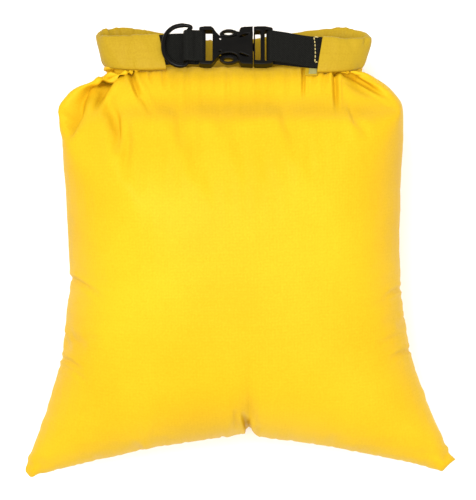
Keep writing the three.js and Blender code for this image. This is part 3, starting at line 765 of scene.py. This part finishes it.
LAYER_N, BAR_L, BAR_R, D_BAR, D_N, D_TURN = 3.05, -28.1, 25.1, -38.0, 2.0, 2.8
left = ribbon("left_strap", [[-69, -1.4, -3.6], [-60, -0.9, -3.4], [-50, 0.0, -3.1], [-40, 0.2, -LAYER_N], [-32, -0.2, -LAYER_N], *turn((BAR_L, 0), LAYER_N, -90, 90, 6, 0), [-31, -0.1, 3.1], [-34.3, -0.3, 3.9], *turn((D_BAR, D_N), D_TURN, 78, 270, 7, -0.4), [-35, -0.3, -0.75], [-32.4, -0.2, -0.75]], 25.6, 1.4, 220, WEB)
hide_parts("left_strap")
right = ribbon("right_strap", [[69, -2.9, -3.1], [60, -2.75, -2.8], [52, -2.3, -2.1], [44, -1.6, -0.7], [36, -0.9, 1.1], [29, -0.4, 2.4], *turn((BAR_R, 0), LAYER_N, 90, 270, 6, 0), [29, -0.4, -2.8], [36, -0.9, -3.2], [44, -1.6, -3.75], [52, -2.3, -4.2], [60, -2.75, -4.7], [69, -2.9, -5.2]], 25.6, 1.4, 200, WEB)
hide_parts("right_strap")


# ------------------------------------------------------------------ buckle
def moulded(name, voxel, rounds):
    """The CAD solid of a moulding with its edges rounded off, as a mould leaves them."""
    src = nodes[name]
    ob = bpy.data.objects.new(name + "_moulding", src.data.copy())
    ob.data.name = name + "_moulding"
    scene.collection.objects.link(ob)
    ob.data.materials.clear()
    ob.data.materials.append(PLASTIC)
    r = ob.modifiers.new("remesh", "REMESH")
    r.mode = "VOXEL"
    r.voxel_size = voxel
    s = ob.modifiers.new("smooth", "SMOOTH")
    s.factor = 0.5
    s.iterations = rounds
    apply_all(ob)
    ob.data.shade_smooth()
    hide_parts(name)
    return ob


VOX = 0.00036
socket = moulded("buckle_socket", VOX, 4)
plug = moulded("buckle_plug", VOX, 4)
arm_u = moulded("plug_arm_upper", VOX, 3)
arm_l = moulded("plug_arm_lower", VOX, 3)

# D-ring: a round moulded wire.
D_PATH = [[0, -12.8], [0, -6], [0, 0], [0, 6], [0.3, 12.8], [2.6, 15.4], [0.2, 16.9], [-5, 17.2], [-11, 15.4], [-16, 10.2], [-18.2, 2.0], [-17.4, -6.2], [-13.4, -12.6], [-8, -15.9], [-3.6, -16.3], [-1.0, -15.2]]
loop = resample(np.vstack([spline(D_PATH, 10, closed=True), spline(D_PATH, 10, closed=True)[:1]]), 121)[:-1]
tan = np.roll(loop, -1, axis=0) - np.roll(loop, 1, axis=0)
tan /= np.linalg.norm(tan, axis=1)[:, None]
verts = []
for p, t in zip(loop, tan):
    for a in np.linspace(0, 2 * np.pi, 16, endpoint=False):
        r = 1.45 + 0.3 * float(smooth01((-1.5 - p[0]) / 3))
        o, z = r * math.cos(a), r * math.sin(a)
        verts.append(face(D_BAR + p[0] + t[1] * o, p[1] - t[0] * o, D_N + z))
n = len(loop)
faces = [(i * 16 + j, i * 16 + (j + 1) % 16, ((i + 1) % n) * 16 + (j + 1) % 16, ((i + 1) % n) * 16 + j) for i in range(n) for j in range(16)]
d_ring = new_mesh("d_ring", mm(verts), faces, PLASTIC)
face_out(d_ring)
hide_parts("d_ring")


# ------------------------------------------------------------------ stitching
def stitch_row(name, corners, pitch, r, surface, mat, fill=0.72):
    """Separate stitches, each a short bent thread that dives into the webbing at both ends."""
    verts, faces = [], []
    for a, b in zip(corners[:-1], corners[1:]):
        a, b = np.array(a, float), np.array(b, float)
        L = np.linalg.norm(b - a)
        count = max(1, round(L / pitch))
        d = (b - a) / L
        side = np.array([-d[1], d[0]])
        for k in range(count):
            c0, c1 = a + d * L * (k + (1 - fill) / 2) / count, a + d * L * (k + 1 - (1 - fill) / 2) / count
            start = len(verts)
            steps, ring = 9, 8
            for i in range(steps):
                t = i / (steps - 1)
                p = c0 + (c1 - c0) * t
                rise = math.sin(math.pi * t) ** 0.6 * r * 1.1 - r * 0.6
                rr = r * (0.55 + 0.45 * math.sin(math.pi * t) ** 0.5)
                for j in range(ring):
                    w = 2 * math.pi * j / ring
                    q = p + side * rr * math.cos(w)
                    verts.append(face(q[0], q[1], surface(q[0]) + rise + rr * math.sin(w)))
            for i in range(steps - 1):
                for j in range(ring):
                    s0 = start + i * ring
                    faces.append((s0 + j, s0 + (j + 1) % ring, s0 + ring + (j + 1) % ring, s0 + ring + j))
            faces.append(tuple(start + j for j in range(ring))[::-1])
            faces.append(tuple(start + (steps - 1) * ring + j for j in range(ring)))
    ob = new_mesh(name, mm(verts), faces, mat)
    face_out(ob)
    return ob


def right_top(u):
    """Height of the right strap's upper face along it."""
    return float(np.interp(u, [44, 52, 60, 69], [-0.7, -2.1, -2.8, -3.1])) + 0.72


def left_top(u):
    return float(np.interp(u, [-34.3, -31], [3.9, 3.1])) + 0.72


box_stitch = stitch_row("right_strap_box_stitch", [[61.4, 9.3], [57.4, 9.6], [58.2, 4], [58.4, -5], [57.9, -11.6], [60.4, -11.2]], 2.7, 0.42, right_top, THREAD)
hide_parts("right_strap_box_stitch")
tack = stitch_row("d_ring_tack_stitch", [[-33.2, 11.0], [-33.2, -11.6]], 1.9, 0.28, left_top, THREAD_BLACK)
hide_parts("d_ring_tack_stitch")
hidden = stitch_row("left_strap_box_stitch", [[-60.4, 8], [-66, 8], [-66, -11.5], [-60.4, -11.5]], 2.0, 0.26, lambda u: -3.4 + 0.72, THREAD_BLACK)
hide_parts("left_strap_box_stitch")

# The mouth's inner hem: a short double layer of lining under the right strap.
def small_cloth(name, u0, u1, v0, v1, n, mat, thick):
    rows = [face(u + 0.25 * math.sin(v * 0.7), v, n - 0.14 * (v + 9.5) + 0.15 * math.sin(u * 0.9)) for u in np.linspace(u0, u1, 14) for v in np.linspace(v0, v1, 14)]
    ob = new_mesh(name, mm(rows), grid_faces(14, 14), mat, [((i // 14) * 0.0009, (i % 14) * 0.0009) for i in range(196)])
    s = ob.modifiers.new("thickness", "SOLIDIFY")
    s.thickness = thick
    s.offset = 0
    subdivide(ob, 1)
    apply_all(ob)
    ob.data.shade_smooth()
    return ob


# The hem takes the darker copy of the nylon: painted shade in its colour.
hem = small_cloth("inner_hem", 50.6, 60.2, -21.2, -9.5, -6.7, ROLL_NYLON_PAINTED_SHADE, 0.0009)
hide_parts("inner_hem")
hem_tape = small_cloth("inner_hem_tape", 53.4, 59.4, -20.0, -10.5, -5.95, HEM, 0.0005)

# ------------------------------------------------------------------ riding
for ob in (left, tack, hidden, socket):
    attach(ob, "sack")
for ob in (right, box_stitch, hem, hem_tape, plug):
    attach(ob, "right_end")
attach(arm_u, "arm_upper")
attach(arm_l, "arm_lower")
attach(d_ring, "d_ring")
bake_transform(roll)
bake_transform(sack)

# ------------------------------------------------------------------ floor and light
floor_mat, ft, fb = material("floor")
noise = node(ft, "ShaderNodeTexNoise", Scale=3.0)
ft.links.new(node(ft, "ShaderNodeTexCoord").outputs["Object"], noise.inputs["Vector"])
ft.links.new(ramp(ft, noise.outputs["Fac"], [(0.3, (0.96, 0.96, 0.96)), (0.7, (0.98, 0.98, 0.98))]), fb.inputs["Base Color"])
fb.inputs["Roughness"].default_value = 0.9
floor = new_mesh("floor", [(-4, -4, 0), (4, -4, 0), (4, 4, 0), (-4, 4, 0)], [(0, 1, 2, 3)], floor_mat, smooth=False)

world = bpy.data.worlds.new("world")
scene.world = world
world.use_nodes = True
bg = world.node_tree.nodes["Background"]
bg.inputs["Color"].default_value = (1.0, 1.0, 1.0, 1)
bg.inputs["Strength"].default_value = 0.84


def area(name, where, aim, size, power):
    l = bpy.data.lights.new(name, "AREA")
    l.shape = "DISK"
    l.size = size
    l.energy = power
    ob = bpy.data.objects.new(name, l)
    scene.collection.objects.link(ob)
    ob.location = where
    ob.rotation_euler = (Vector(aim) - Vector(where)).to_track_quat("-Z", "Y").to_euler()
    return ob


area("key", (-0.32, 0.2, 1.5), (0, 0, 0.08), 1.0, 21)
area("fill", (0.6, -0.3, 1.3), (0, 0, 0.08), 1.0, 7)
